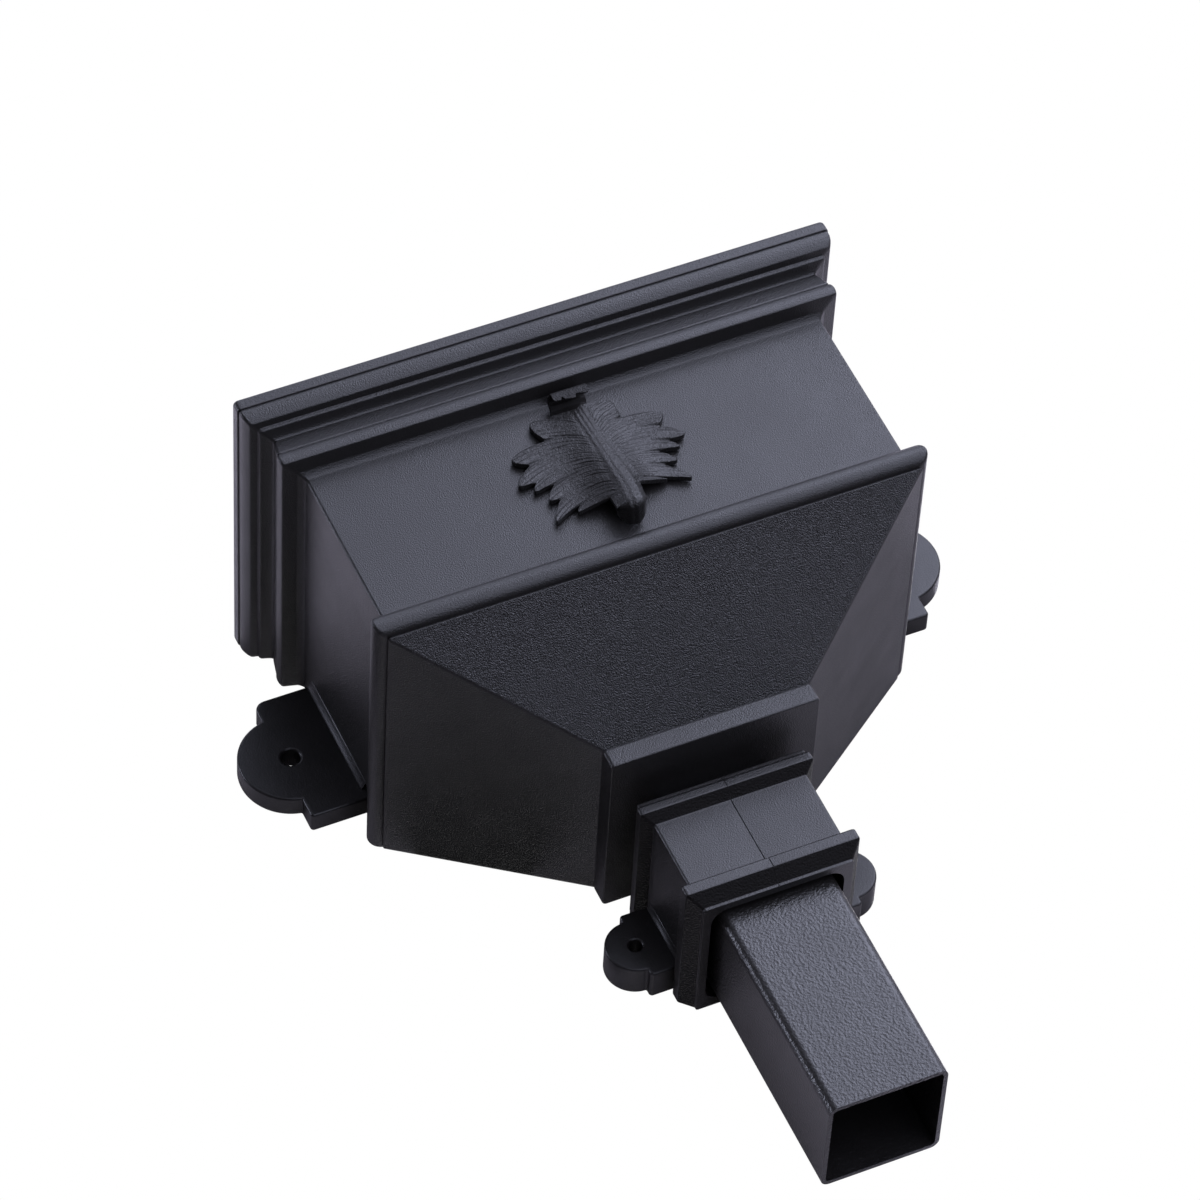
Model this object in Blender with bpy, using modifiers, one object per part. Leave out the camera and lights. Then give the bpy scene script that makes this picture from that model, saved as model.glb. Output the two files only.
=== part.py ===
"""Rainwater hopper head with its acanthus leaf, pipe connector and downpipe.

Installed position: +Z is up, the wall is the plane Y = 0, and the front faces -Y.
The origin is on the wall, midway between the two fixing holes of the hopper head.
"""
import math

import bmesh
import bpy
from mathutils import Matrix, Vector

MM = 0.001

# Clearance between neighbouring pieces
FIT_GAP = 0.3 * MM

# Hopper box
BOX_HALF_WIDTH = 144.0 * MM
BOX_DEPTH = 168.0 * MM
BOX_WALL = 3.5 * MM
ARRIS_RADIUS = 1.6 * MM
BACK_ARRIS_RADIUS = 0.5 * MM
CORNER_STEPS = 3

# Cornice, from the rim down. A projection is measured from the face of the box.
RIM_TOP = 94.5 * MM
RIM_PROJECTION = 21.4 * MM
RIM_FACE = 6.4 * MM
RIM_EDGE_RADIUS = 1.6 * MM
RIM_WALL = 4.0 * MM
QUIRK_DEPTH = 1.1 * MM
QUIRK_HEIGHT = 0.8 * MM
OVOLO_HEIGHT = 8.4 * MM
OVOLO_SETBACK = 2.6 * MM
OVOLO_RISE = 0.7 * MM
SOFFIT_SETBACK = 3.6 * MM
SOFFIT_DROP = 0.8 * MM
FILLET_HEIGHT = 1.9 * MM
COVE_SETBACK = 5.6 * MM
COVE_DROP = 2.9 * MM
COVE_DEPTH = 1.3 * MM
FASCIA_HEIGHT = 9.4 * MM
FASCIA_SLOPE = 2.2 * MM
TORUS_PROJECTION = 10.7 * MM
TORUS_HEIGHT = 7.2 * MM
TORUS_RISE = 0.7 * MM
FOOT_SOFFIT_DROP = 2.0 * MM
FOOT_COVE = 3.2 * MM

# Bead at the foot of the box
BEAD_TOP = -50.2 * MM
BEAD_HEIGHT = 12.9 * MM
BEAD_PROJECTION = 8.5 * MM
BEAD_ROOT = 2.4 * MM

# Funnel and outlet flange
FUNNEL_TOP = -64.3 * MM
FUNNEL_TOP_PROJECTION = 3.3 * MM
FUNNEL_BOTTOM = -128.8 * MM
FLANGE_LEDGE = 0.6 * MM
FLANGE_HALF_WIDTH = 57.6 * MM
FLANGE_DEPTH = 114.6 * MM
FLANGE_THICKNESS = 11.4 * MM
FLANGE_EDGE_RADIUS = 1.5 * MM
FUNNEL_FLOOR = 3.8 * MM

# Square pipe work
PIPE_SIZE = 65.0 * MM
PIPE_WALL = 2.5 * MM
PIPE_CORNER_RADIUS = 5.0 * MM
PIPE_END = -346.0 * MM
PIPE_CORNER_STEPS = 5
SPIGOT_WALL = 3.0 * MM
SPIGOT_LENGTH = 34.0 * MM

# Pipe connector
CONNECTOR_WALL = 5.7 * MM
CONNECTOR_TOP = -148.6 * MM
LIP_INSET = 1.5 * MM
UPPER_LIP_HEIGHT = 2.6 * MM
BAND_PROJECTION = 5.5 * MM
UPPER_BAND_HEIGHT = 5.2 * MM
LOWER_BAND_HEIGHT = 6.6 * MM
BAND_EDGE_RADIUS = 0.8 * MM
BAND_COVE_DROP = 4.7 * MM
BODY_BOTTOM = -203.4 * MM
LOWER_LIP_INSET = 1.1 * MM
LOWER_LIP_HEIGHT = 1.5 * MM
LOWER_COVE_DROP = 6.5 * MM
MOUTH_GAP = 4.2 * MM
MOUTH_DEPTH = 11.0 * MM
MOUTH_LEAD = 4.0 * MM
STOP_HEIGHT = 4.0 * MM
STOP_CLEARANCE = 4.0 * MM

# Fixing ears of the hopper head
EAR_REACH = 32.8 * MM
EAR_HALF_HEIGHT = 40.0 * MM
EAR_THICKNESS = 13.0 * MM
EAR_LOBE_REACH = 27.9 * MM
EAR_LOBE_RADIUS = 27.8 * MM
EAR_HOLE_RADIUS = 5.2 * MM
EAR_TOP_RADIUS = 6.0 * MM
EAR_BOTTOM_RADIUS = 2.0 * MM
EAR_EDGE_RADIUS = 1.3 * MM
EAR_WEB_WIDTH = 2.6 * MM
EAR_WEB_DEPTH = 5.2 * MM
EAR_WEB_STOP = 6.5 * MM

# Fixing ears of the connector
SMALL_EAR_REACH = 16.8 * MM
SMALL_EAR_THICKNESS = 19.0 * MM
SMALL_EAR_LOBE_REACH = 16.6 * MM
SMALL_EAR_LOBE_RADIUS = 15.8 * MM
SMALL_EAR_HOLE_RADIUS = 3.6 * MM
SMALL_EAR_CORNER_RADIUS = 2.0 * MM
SMALL_EAR_EDGE_RADIUS = 1.2 * MM
SMALL_EAR_WEB_WIDTH = 1.8 * MM
SMALL_EAR_WEB_DEPTH = 4.0 * MM
SMALL_EAR_WEB_STOP = 2.0 * MM

EAR_ROOT = 2.0 * MM
LOBE_STEPS = 26
EDGE_STEPS = 2

# Leaf, measured on the panel: heights from the leaf's centre, veins along the midrib
LEAF_CENTRE_HEIGHT = 0.0 * MM
LEAF_THICKNESS = 2.6 * MM
LEAF_CURL_START = 34.2 * MM
LEAF_CURL_RADIUS = 4.6 * MM
LEAF_LIP_WAVE = 1.6 * MM
LEAF_LIP_WAVE_WIDTH = 14.0 * MM
LEAF_LIP_WAVE_START = 35.0 * MM
LEAF_LIP_WAVE_FULL = 40.5 * MM
LEAF_ROLL_START = -36.0 * MM
LEAF_ROLL_RADIUS = 5.5 * MM
LEAF_ROLL_ANGLE = math.radians(80)
LEAF_RIB_TOP_HEIGHT = 5.0 * MM
LEAF_RIB_TIP_HEIGHT = 17.0 * MM
LEAF_ARCH_WIDTH = 15.0 * MM
LEAF_TIP_FLATNESS = 0.25
LEAF_RIB_WIDTH = 3.6 * MM
LEAF_RIB_HEIGHT = 1.1 * MM
LEAF_FLUTE_DEPTH = 1.2 * MM
LEAF_FLUTE_WIDTH = 1.7 * MM
LEAF_VEIN_RISE = 0.55
LEAF_VEIN_DROOP = 12.5
LEAF_VEIN_SPREAD = 240.0
LEAF_VEIN_LIFT = 2.0 * MM
LEAF_VEIN_LIFT_WIDTH = 4.0 * MM
LEAF_ROWS_PER_LOBE_SIDE = 3
LEAF_COLUMNS = 20
# Where each vein meets the midrib, and how far it reaches: notch, lobe tip, notch, and so on,
# and then the narrow tongue of the tip
LEAF_LOBES_MM = (
    (41, 8.5), (39.4, 12), (37, 10.7), (33.5, 14.5), (31.5, 14.2), (24, 23), (14.8, 21.2),
    (11.3, 42), (5.3, 36), (1, 46), (-3, 37.2), (-5.8, 40.3), (-9, 29.3), (-14, 35.5),
    (-17, 29.2), (-23.6, 37.6), (-26, 22.2), (-28.8, 25.2), (-31, 9),
    (-36, 8.3), (-43, 8), (-50, 7.2), (-53.5, 4.5),
)
LEAF_NOTCHES_MM = [vein for vein, _ in LEAF_LOBES_MM[6:17:2]]

FLANGE_BOTTOM = FUNNEL_BOTTOM - FLANGE_THICKNESS
PIPE_HALF = PIPE_SIZE / 2
CONNECTOR_SIZE = PIPE_SIZE + 2 * (MOUTH_GAP + CONNECTOR_WALL)
PIPE_CENTRE_DEPTH = CONNECTOR_SIZE / 2
SPIGOT_BOTTOM = FLANGE_BOTTOM - SPIGOT_LENGTH
STOP_TOP = SPIGOT_BOTTOM - STOP_CLEARANCE
STOP_BOTTOM = STOP_TOP - STOP_HEIGHT
PIPE_TOP = STOP_BOTTOM - STOP_CLEARANCE


def clear_scene():
    """Remove whatever the file opened with."""
    for existing in list(bpy.data.objects):
        bpy.data.objects.remove(existing, do_unlink=True)


def new_collection(name):
    """Add a collection to the scene."""
    collection = bpy.data.collections.new(name)
    bpy.context.scene.collection.children.link(collection)
    return collection


def plastic(name, colour, roughness):
    """Make a moulded plastic material."""
    material = bpy.data.materials.new(name)
    material.use_nodes = True
    shader = material.node_tree.nodes["Principled BSDF"]
    shader.inputs["Base Color"].default_value = (*colour, 1.0)
    shader.inputs["Roughness"].default_value = roughness
    shader.inputs["Metallic"].default_value = 0.0
    return material


def add_object(name, bm, collection, material=None):
    """Turn a bmesh into a named object, with its faces pointing out."""
    bmesh.ops.recalc_face_normals(bm, faces=bm.faces)
    mesh = bpy.data.meshes.new(name)
    bm.to_mesh(mesh)
    bm.free()
    piece = bpy.data.objects.new(name, mesh)
    collection.objects.link(piece)
    if material is not None:
        mesh.materials.append(material)
    return piece


def add_cutter(name, bm, cutters):
    """Add a helper solid that only a Boolean modifier uses."""
    cutter = add_object(name, bm, cutters)
    cutter.hide_render = True
    cutter.display_type = "WIRE"
    return cutter


def combine(piece, helper, operation):
    """Join a helper solid to a piece, or cut it away."""
    modifier = piece.modifiers.new(helper.name, "BOOLEAN")
    modifier.operation = operation
    modifier.solver = "EXACT"
    modifier.object = helper


def bow(start, end, rise, steps):
    """Points of a circular arc from start to end, standing out by rise (hollow if negative)."""
    start = Vector(start)
    end = Vector(end)
    chord = end - start
    outward = Vector((-chord.y, chord.x)).normalized()
    if outward.x < 0:
        outward.negate()
    radius = (chord.length ** 2 / 4 + rise ** 2) / (2 * abs(rise))
    centre = (start + end) / 2 + outward * (rise - math.copysign(radius, rise))
    first = start - centre
    sweep = first.angle_signed(end - centre)
    points = []
    for step in range(steps + 1):
        turned = first.copy()
        turned.rotate(Matrix.Rotation(-sweep * step / steps, 2))
        points.append(tuple(centre + turned))
    return points


def ring(bm, half_width, back, front, height, front_radius, back_radius, steps):
    """A rounded rectangle of points lying flat at one height."""
    corners = (
        (half_width - back_radius, -back - back_radius, back_radius, 0),
        (back_radius - half_width, -back - back_radius, back_radius, 90),
        (front_radius - half_width, front_radius - front, front_radius, 180),
        (half_width - front_radius, front_radius - front, front_radius, 270),
    )
    points = []
    for x, y, radius, start in corners:
        for step in range(steps + 1):
            angle = math.radians(start + 90 * step / steps)
            offset = Vector((math.cos(angle), math.sin(angle), 0)) * radius
            points.append(bm.verts.new(Vector((x, y, height)) + offset))
    return points


def loft(bm, rings, capped=True):
    """Skin a stack of rings, and close both ends."""
    for upper, lower in zip(rings, rings[1:]):
        count = len(upper)
        for index in range(count):
            following = (index + 1) % count
            bm.faces.new((upper[index], upper[following], lower[following], lower[index]))
    if capped:
        bm.faces.new(rings[0])
        bm.faces.new(rings[-1])


def cornice_profile():
    """Projection and height of each point of the cornice, from the rim down to the panel."""
    edge = RIM_EDGE_RADIUS
    points = bow((RIM_PROJECTION - edge, RIM_TOP), (RIM_PROJECTION, RIM_TOP - edge), 0.29 * edge,
                 EDGE_STEPS)
    height = RIM_TOP - RIM_FACE
    points.append((RIM_PROJECTION, height))
    points.append((RIM_PROJECTION - QUIRK_DEPTH, height - QUIRK_HEIGHT / 2))
    height -= QUIRK_HEIGHT
    projection = RIM_PROJECTION - 0.6 * QUIRK_DEPTH
    points += bow((projection, height), (projection - OVOLO_SETBACK, height - OVOLO_HEIGHT), OVOLO_RISE, 4)
    projection -= OVOLO_SETBACK + SOFFIT_SETBACK
    height -= OVOLO_HEIGHT + SOFFIT_DROP
    points.append((projection, height))
    height -= FILLET_HEIGHT
    points.append((projection - 0.3 * QUIRK_DEPTH, height))
    projection -= QUIRK_DEPTH
    height -= QUIRK_HEIGHT / 2
    points += bow((projection, height), (projection - COVE_SETBACK, height - COVE_DROP), -COVE_DEPTH, 4)
    projection -= COVE_SETBACK
    height -= COVE_DROP
    points.append((projection - 0.6 * QUIRK_DEPTH, height - QUIRK_HEIGHT / 2))
    height -= QUIRK_HEIGHT
    points.append((projection + 0.4 * QUIRK_DEPTH, height))
    height -= FASCIA_HEIGHT
    points.append((projection + 0.4 * QUIRK_DEPTH + FASCIA_SLOPE, height))
    points.append((TORUS_PROJECTION - QUIRK_DEPTH, height - QUIRK_HEIGHT / 2))
    height -= QUIRK_HEIGHT
    points += bow((TORUS_PROJECTION, height), (TORUS_PROJECTION, height - TORUS_HEIGHT), TORUS_RISE, 4)
    height -= TORUS_HEIGHT
    points.append((FOOT_COVE, height - FOOT_SOFFIT_DROP))
    height -= FOOT_SOFFIT_DROP
    points += bow((0.9 * FOOT_COVE, height - 0.1 * FOOT_COVE), (0, height - FOOT_COVE),
                  -0.29 * FOOT_COVE, 3)
    return points


def bead_profile():
    """Projection and height of each point of the half-round bead."""
    top = (BEAD_ROOT, BEAD_TOP)
    bottom = (BEAD_ROOT, BEAD_TOP - BEAD_HEIGHT)
    points = [(0, BEAD_TOP + BEAD_ROOT / 4)]
    points += bow(top, bottom, BEAD_PROJECTION - BEAD_ROOT, 8)
    points.append((FUNNEL_TOP_PROJECTION, FUNNEL_TOP))
    return points


def hopper_skin():
    """Outer skin of the hopper: cornice, box, bead, funnel, flange and spigot."""
    bm = bmesh.new()
    rings = []
    for projection, height in cornice_profile() + bead_profile():
        rings.append(ring(bm, BOX_HALF_WIDTH + projection, 0, BOX_DEPTH + projection, height,
                          ARRIS_RADIUS, BACK_ARRIS_RADIUS, CORNER_STEPS))
    edge = FLANGE_EDGE_RADIUS
    flange = [(-FLANGE_LEDGE, FUNNEL_BOTTOM), (0, FUNNEL_BOTTOM - FLANGE_LEDGE)]
    flange += bow((0, FLANGE_BOTTOM + edge), (-edge, FLANGE_BOTTOM), 0.29 * edge, EDGE_STEPS)
    for projection, height in flange:
        rings.append(ring(bm, FLANGE_HALF_WIDTH + projection, 0, FLANGE_DEPTH + projection, height,
                          ARRIS_RADIUS, BACK_ARRIS_RADIUS, CORNER_STEPS))
    for height in (FLANGE_BOTTOM, SPIGOT_BOTTOM):
        rings.append(ring(bm, PIPE_HALF, PIPE_CENTRE_DEPTH - PIPE_HALF, PIPE_CENTRE_DEPTH + PIPE_HALF,
                          height, PIPE_CORNER_RADIUS, PIPE_CORNER_RADIUS, CORNER_STEPS))
    loft(bm, rings)
    return bm


def funnel_inset(horizontal, vertical):
    """How far in a sloping wall's inner face lies, measured level, for the box's wall thickness."""
    return BOX_WALL * math.hypot(horizontal, vertical) / vertical


def hopper_cavity():
    """The space inside: flared behind the cornice, straight in the box, then funnel and outlet."""
    rim = RIM_PROJECTION - RIM_WALL
    cove_height = RIM_TOP - RIM_FACE - OVOLO_HEIGHT - FILLET_HEIGHT
    torus_height = RIM_TOP - RIM_FACE - OVOLO_HEIGHT - COVE_DROP - FASCIA_HEIGHT - FILLET_HEIGHT
    waist = TORUS_PROJECTION - COVE_SETBACK - BOX_WALL / 2
    flare = (
        (rim, RIM_TOP + BOX_WALL),
        (rim, cove_height + 2 * BOX_WALL),
        (waist, cove_height - BOX_WALL),
        (waist, torus_height),
        (-BOX_WALL, torus_height - TORUS_HEIGHT - 2 * BOX_WALL),
        (-BOX_WALL, FUNNEL_TOP + BOX_WALL),
    )
    bm = bmesh.new()
    rings = []
    radius = PIPE_CORNER_RADIUS - SPIGOT_WALL
    for projection, height in flare:
        rings.append(ring(bm, BOX_HALF_WIDTH + projection, BOX_WALL, BOX_DEPTH + projection, height,
                          radius, radius, CORNER_STEPS))
    drop = FUNNEL_TOP - FUNNEL_BOTTOM
    side = funnel_inset(BOX_HALF_WIDTH + FUNNEL_TOP_PROJECTION - FLANGE_HALF_WIDTH, drop)
    front = funnel_inset(BOX_DEPTH + FUNNEL_TOP_PROJECTION - FLANGE_DEPTH, drop)
    rings.append(ring(bm, FLANGE_HALF_WIDTH - side, BOX_WALL, FLANGE_DEPTH - front, FUNNEL_BOTTOM,
                      radius, radius, CORNER_STEPS))
    bore = PIPE_HALF - SPIGOT_WALL
    for height in (FLANGE_BOTTOM + FUNNEL_FLOOR, SPIGOT_BOTTOM - BOX_WALL):
        rings.append(ring(bm, bore, PIPE_CENTRE_DEPTH - bore, PIPE_CENTRE_DEPTH + bore, height,
                          radius, radius, CORNER_STEPS))
    loft(bm, rings)
    return bm


def ear_outline(root, edge, lobe_x, lobe_radius, half_height, top_radius, bottom_radius):
    """Outline of a right-hand ear: a plate with rounded corners and a round lobe on its edge."""
    shoulder = math.sqrt(lobe_radius ** 2 - (edge - lobe_x) ** 2)
    half_angle = math.atan2(shoulder, edge - lobe_x)
    points = [(root, -half_height)]
    for step in range(EDGE_STEPS + 1):
        angle = math.radians(-90 + 90 * step / EDGE_STEPS)
        points.append((edge - bottom_radius * (1 - math.cos(angle)),
                       bottom_radius - half_height + bottom_radius * math.sin(angle)))
    for step in range(LOBE_STEPS + 1):
        angle = half_angle * (2 * step / LOBE_STEPS - 1)
        points.append((lobe_x + lobe_radius * math.cos(angle), lobe_radius * math.sin(angle)))
    for step in range(EDGE_STEPS + 1):
        angle = math.radians(90 * step / EDGE_STEPS)
        points.append((edge - top_radius * (1 - math.cos(angle)),
                       half_height - top_radius + top_radius * math.sin(angle)))
    points.append((root, half_height))
    return points


def plate_mesh(outline, thickness):
    """A flat curve filled and thickened, standing against the wall, as a bmesh."""
    curve = bpy.data.curves.new("plate_outline", "CURVE")
    curve.dimensions = "2D"
    curve.fill_mode = "BOTH"
    curve.extrude = thickness / 2
    spline = curve.splines.new("POLY")
    spline.points.add(len(outline) - 1)
    for point, (x, y) in zip(spline.points, outline):
        point.co = (x, y, 0, 1)
    spline.use_cyclic_u = True
    holder = bpy.data.objects.new("plate_outline", curve)
    bpy.context.scene.collection.objects.link(holder)
    bpy.context.view_layer.update()
    mesh = bpy.data.meshes.new_from_object(holder.evaluated_get(bpy.context.evaluated_depsgraph_get()))
    bpy.data.objects.remove(holder, do_unlink=True)
    bm = bmesh.new()
    bm.from_mesh(mesh)
    bpy.data.meshes.remove(mesh)
    bmesh.ops.remove_doubles(bm, verts=bm.verts, dist=0.01 * MM)
    stand = Matrix.Translation((0, -thickness / 2, 0)) @ Matrix.Rotation(math.radians(90), 4, "X")
    bmesh.ops.transform(bm, matrix=stand, verts=bm.verts)
    bmesh.ops.dissolve_limit(bm, angle_limit=math.radians(1), verts=bm.verts, edges=bm.edges)
    return bm


def round_front_edge(bm, thickness, root, radius):
    """Round the outline of a plate's front face, apart from its root."""
    tolerance = 0.01 * MM
    edges = []
    for edge in bm.edges:
        at_front = all(abs(vert.co.y + thickness) < tolerance for vert in edge.verts)
        at_root = all(abs(vert.co.x - root) < tolerance for vert in edge.verts)
        if at_front and not at_root:
            edges.append(edge)
    bmesh.ops.bevel(bm, geom=edges, offset=radius, segments=EDGE_STEPS, profile=0.5, affect="EDGES")


def add_ear(carrier, cutters, label, side, centre, plate, web, hole_radius):
    """Join an ear and its web to the carrier on one side, and drill its hole."""
    root, edge, lobe_x, lobe_radius, half_height, thickness, top_radius, bottom_radius, edge_radius = plate
    outline = ear_outline(root - EAR_ROOT, edge, lobe_x, lobe_radius, half_height, top_radius,
                          bottom_radius)
    bm = plate_mesh(outline, thickness)
    round_front_edge(bm, thickness, root - EAR_ROOT, edge_radius)
    place = Matrix.Translation((0, 0, centre)) @ Matrix.Diagonal((side, 1, 1, 1))
    bmesh.ops.transform(bm, matrix=place, verts=bm.verts)
    combine(carrier, add_cutter(f"{label}_plate", bm, cutters), "UNION")

    width, depth, stop = web
    inner = root - EAR_ROOT / 2
    bm = bmesh.new()
    section = (
        (inner, edge_radius - thickness),
        (root + width, edge_radius - thickness),
        (root + width, -thickness),
        (root, -thickness - depth),
        (inner, -thickness - depth),
    )
    base = [bm.verts.new((x, y, stop - half_height)) for x, y in section]
    extruded = bmesh.ops.extrude_face_region(bm, geom=[bm.faces.new(base)])
    top = [item for item in extruded["geom"] if isinstance(item, bmesh.types.BMVert)]
    bmesh.ops.translate(bm, verts=top, vec=(0, 0, 2 * half_height - stop - edge_radius))
    bmesh.ops.transform(bm, matrix=place, verts=bm.verts)
    combine(carrier, add_cutter(f"{label}_web", bm, cutters), "UNION")

    bm = bmesh.new()
    bmesh.ops.create_cone(bm, cap_ends=True, segments=24, radius1=hole_radius, radius2=hole_radius,
                          depth=4 * thickness)
    drill = Matrix.Translation((side * lobe_x, 0, centre)) @ Matrix.Rotation(math.radians(90), 4, "X")
    bmesh.ops.transform(bm, matrix=drill, verts=bm.verts)
    combine(carrier, add_cutter(f"{label}_hole", bm, cutters), "DIFFERENCE")


def build_hopper_head(parts, cutters, material):
    """The one-piece hopper moulding."""
    head = add_object("hopper_head", hopper_skin(), parts, material)
    plate = (BOX_HALF_WIDTH, BOX_HALF_WIDTH + EAR_REACH, BOX_HALF_WIDTH + EAR_LOBE_REACH, EAR_LOBE_RADIUS,
             EAR_HALF_HEIGHT, EAR_THICKNESS, EAR_TOP_RADIUS, EAR_BOTTOM_RADIUS, EAR_EDGE_RADIUS)
    web = (EAR_WEB_WIDTH, EAR_WEB_DEPTH, EAR_WEB_STOP)
    for label, side in (("head_left_ear", -1), ("head_right_ear", 1)):
        add_ear(head, cutters, label, side, 0, plate, web, EAR_HOLE_RADIUS)
    combine(head, add_cutter("head_cavity", hopper_cavity(), cutters), "DIFFERENCE")
    return head


def connector_profile():
    """Projection and height of the connector's outside, from its upper lip to its lower lip."""
    edge = BAND_EDGE_RADIUS
    band_top = CONNECTOR_TOP - UPPER_LIP_HEIGHT
    lip = BAND_PROJECTION - LIP_INSET
    points = [(lip, CONNECTOR_TOP), (lip, band_top + edge / 2)]
    bands = (
        (band_top, UPPER_BAND_HEIGHT, 0, BAND_COVE_DROP),
        (BODY_BOTTOM - edge, LOWER_BAND_HEIGHT, -LOWER_LIP_INSET, LOWER_COVE_DROP),
    )
    for top, height, foot, drop in bands:
        points += bow((BAND_PROJECTION - edge, top), (BAND_PROJECTION, top - edge), 0.29 * edge, EDGE_STEPS)
        bottom = top - height
        points.append((BAND_PROJECTION, bottom))
        points += bow((BAND_PROJECTION - 0.5 * edge, bottom - 0.5 * edge), (foot, bottom - drop),
                      -0.6 * edge, 3)
        if foot == 0:
            points.append((0, BODY_BOTTOM))
    points.append((-LOWER_LIP_INSET, points[-1][1] - LOWER_LIP_HEIGHT))
    return points


def build_connector(parts, cutters, material):
    """The eared socket that takes the spigot from above and the downpipe from below."""
    half = CONNECTOR_SIZE / 2
    bm = bmesh.new()
    rings = []
    profile = connector_profile()
    for projection, height in profile:
        rings.append(ring(bm, half + projection, 0, CONNECTOR_SIZE + projection, height,
                          ARRIS_RADIUS, BACK_ARRIS_RADIUS, CORNER_STEPS))
    loft(bm, rings)
    connector = add_object("pipe_connector", bm, parts, material)

    body_top = CONNECTOR_TOP - UPPER_LIP_HEIGHT - UPPER_BAND_HEIGHT - BAND_COVE_DROP
    half_height = (body_top - BODY_BOTTOM) / 2
    centre = (body_top + BODY_BOTTOM) / 2
    plate = (half, half + SMALL_EAR_REACH, half + SMALL_EAR_LOBE_REACH, SMALL_EAR_LOBE_RADIUS,
             half_height - FIT_GAP, SMALL_EAR_THICKNESS, SMALL_EAR_CORNER_RADIUS, SMALL_EAR_CORNER_RADIUS,
             SMALL_EAR_EDGE_RADIUS)
    web = (SMALL_EAR_WEB_WIDTH, SMALL_EAR_WEB_DEPTH, SMALL_EAR_WEB_STOP)
    for label, side in (("connector_left_ear", -1), ("connector_right_ear", 1)):
        add_ear(connector, cutters, label, side, centre, plate, web, SMALL_EAR_HOLE_RADIUS)

    mouth = profile[-1][1]
    seat = PIPE_HALF + FIT_GAP
    stop = PIPE_HALF - SPIGOT_WALL
    bore = (
        (seat, CONNECTOR_TOP + BOX_WALL),
        (seat, STOP_TOP),
        (stop, STOP_TOP),
        (stop, STOP_BOTTOM),
        (seat, STOP_BOTTOM),
        (seat, mouth + MOUTH_DEPTH + MOUTH_LEAD),
        (PIPE_HALF + MOUTH_GAP, mouth + MOUTH_DEPTH),
        (PIPE_HALF + MOUTH_GAP, mouth - BOX_WALL),
    )
    bm = bmesh.new()
    rings = []
    for reach, height in bore:
        radius = PIPE_CORNER_RADIUS + reach - PIPE_HALF
        rings.append(ring(bm, reach, PIPE_CENTRE_DEPTH - reach, PIPE_CENTRE_DEPTH + reach, height,
                          radius, radius, PIPE_CORNER_STEPS))
    loft(bm, rings)
    combine(connector, add_cutter("connector_bore", bm, cutters), "DIFFERENCE")
    return connector


def build_downpipe(parts, material):
    """A length of square pipe with rounded edges and plain cut ends."""
    bm = bmesh.new()
    rings = []
    for height in (PIPE_TOP, PIPE_END):
        rings.append(ring(bm, PIPE_HALF, PIPE_CENTRE_DEPTH - PIPE_HALF, PIPE_CENTRE_DEPTH + PIPE_HALF,
                          height, PIPE_CORNER_RADIUS, PIPE_CORNER_RADIUS, PIPE_CORNER_STEPS))
    loft(bm, rings, capped=False)
    pipe = add_object("downpipe", bm, parts, material)
    wall = pipe.modifiers.new("wall", "SOLIDIFY")
    wall.thickness = PIPE_WALL
    wall.offset = -1
    wall.use_even_offset = True
    return pipe


def smoothstep(low, high, value):
    """Ease from 0 to 1 between two values."""
    share = min(max((value - low) / (high - low), 0), 1)
    return share * share * (3 - 2 * share)


def leaf_rows():
    """Vein position and reach of each row of the leaf, round at lobe tips and sharp at notches."""
    rows = []
    knots = [(vein * MM, reach * MM) for vein, reach in LEAF_LOBES_MM]
    for index, (start, end) in enumerate(zip(knots, knots[1:])):
        rising = index % 2 == 0
        for step in range(LEAF_ROWS_PER_LOBE_SIDE):
            share = step / LEAF_ROWS_PER_LOBE_SIDE
            eased = math.sin(share * math.pi / 2) if rising else 1 - math.cos(share * math.pi / 2)
            vein = start[0] + (end[0] - start[0]) * share
            rows.append((vein, start[1] + (end[1] - start[1]) * eased))
    rows.append(knots[-1])
    return rows


def leaf_notch_depth(vein, reach, x):
    """Depth of the hollows that run in from the notches between the lobes."""
    depth = 0
    for notch in LEAF_NOTCHES_MM:
        depth += math.exp(-((vein - notch * MM) / LEAF_FLUTE_WIDTH) ** 2)
    return LEAF_FLUTE_DEPTH * depth * min(abs(x) / reach, 1) ** 0.5


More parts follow.
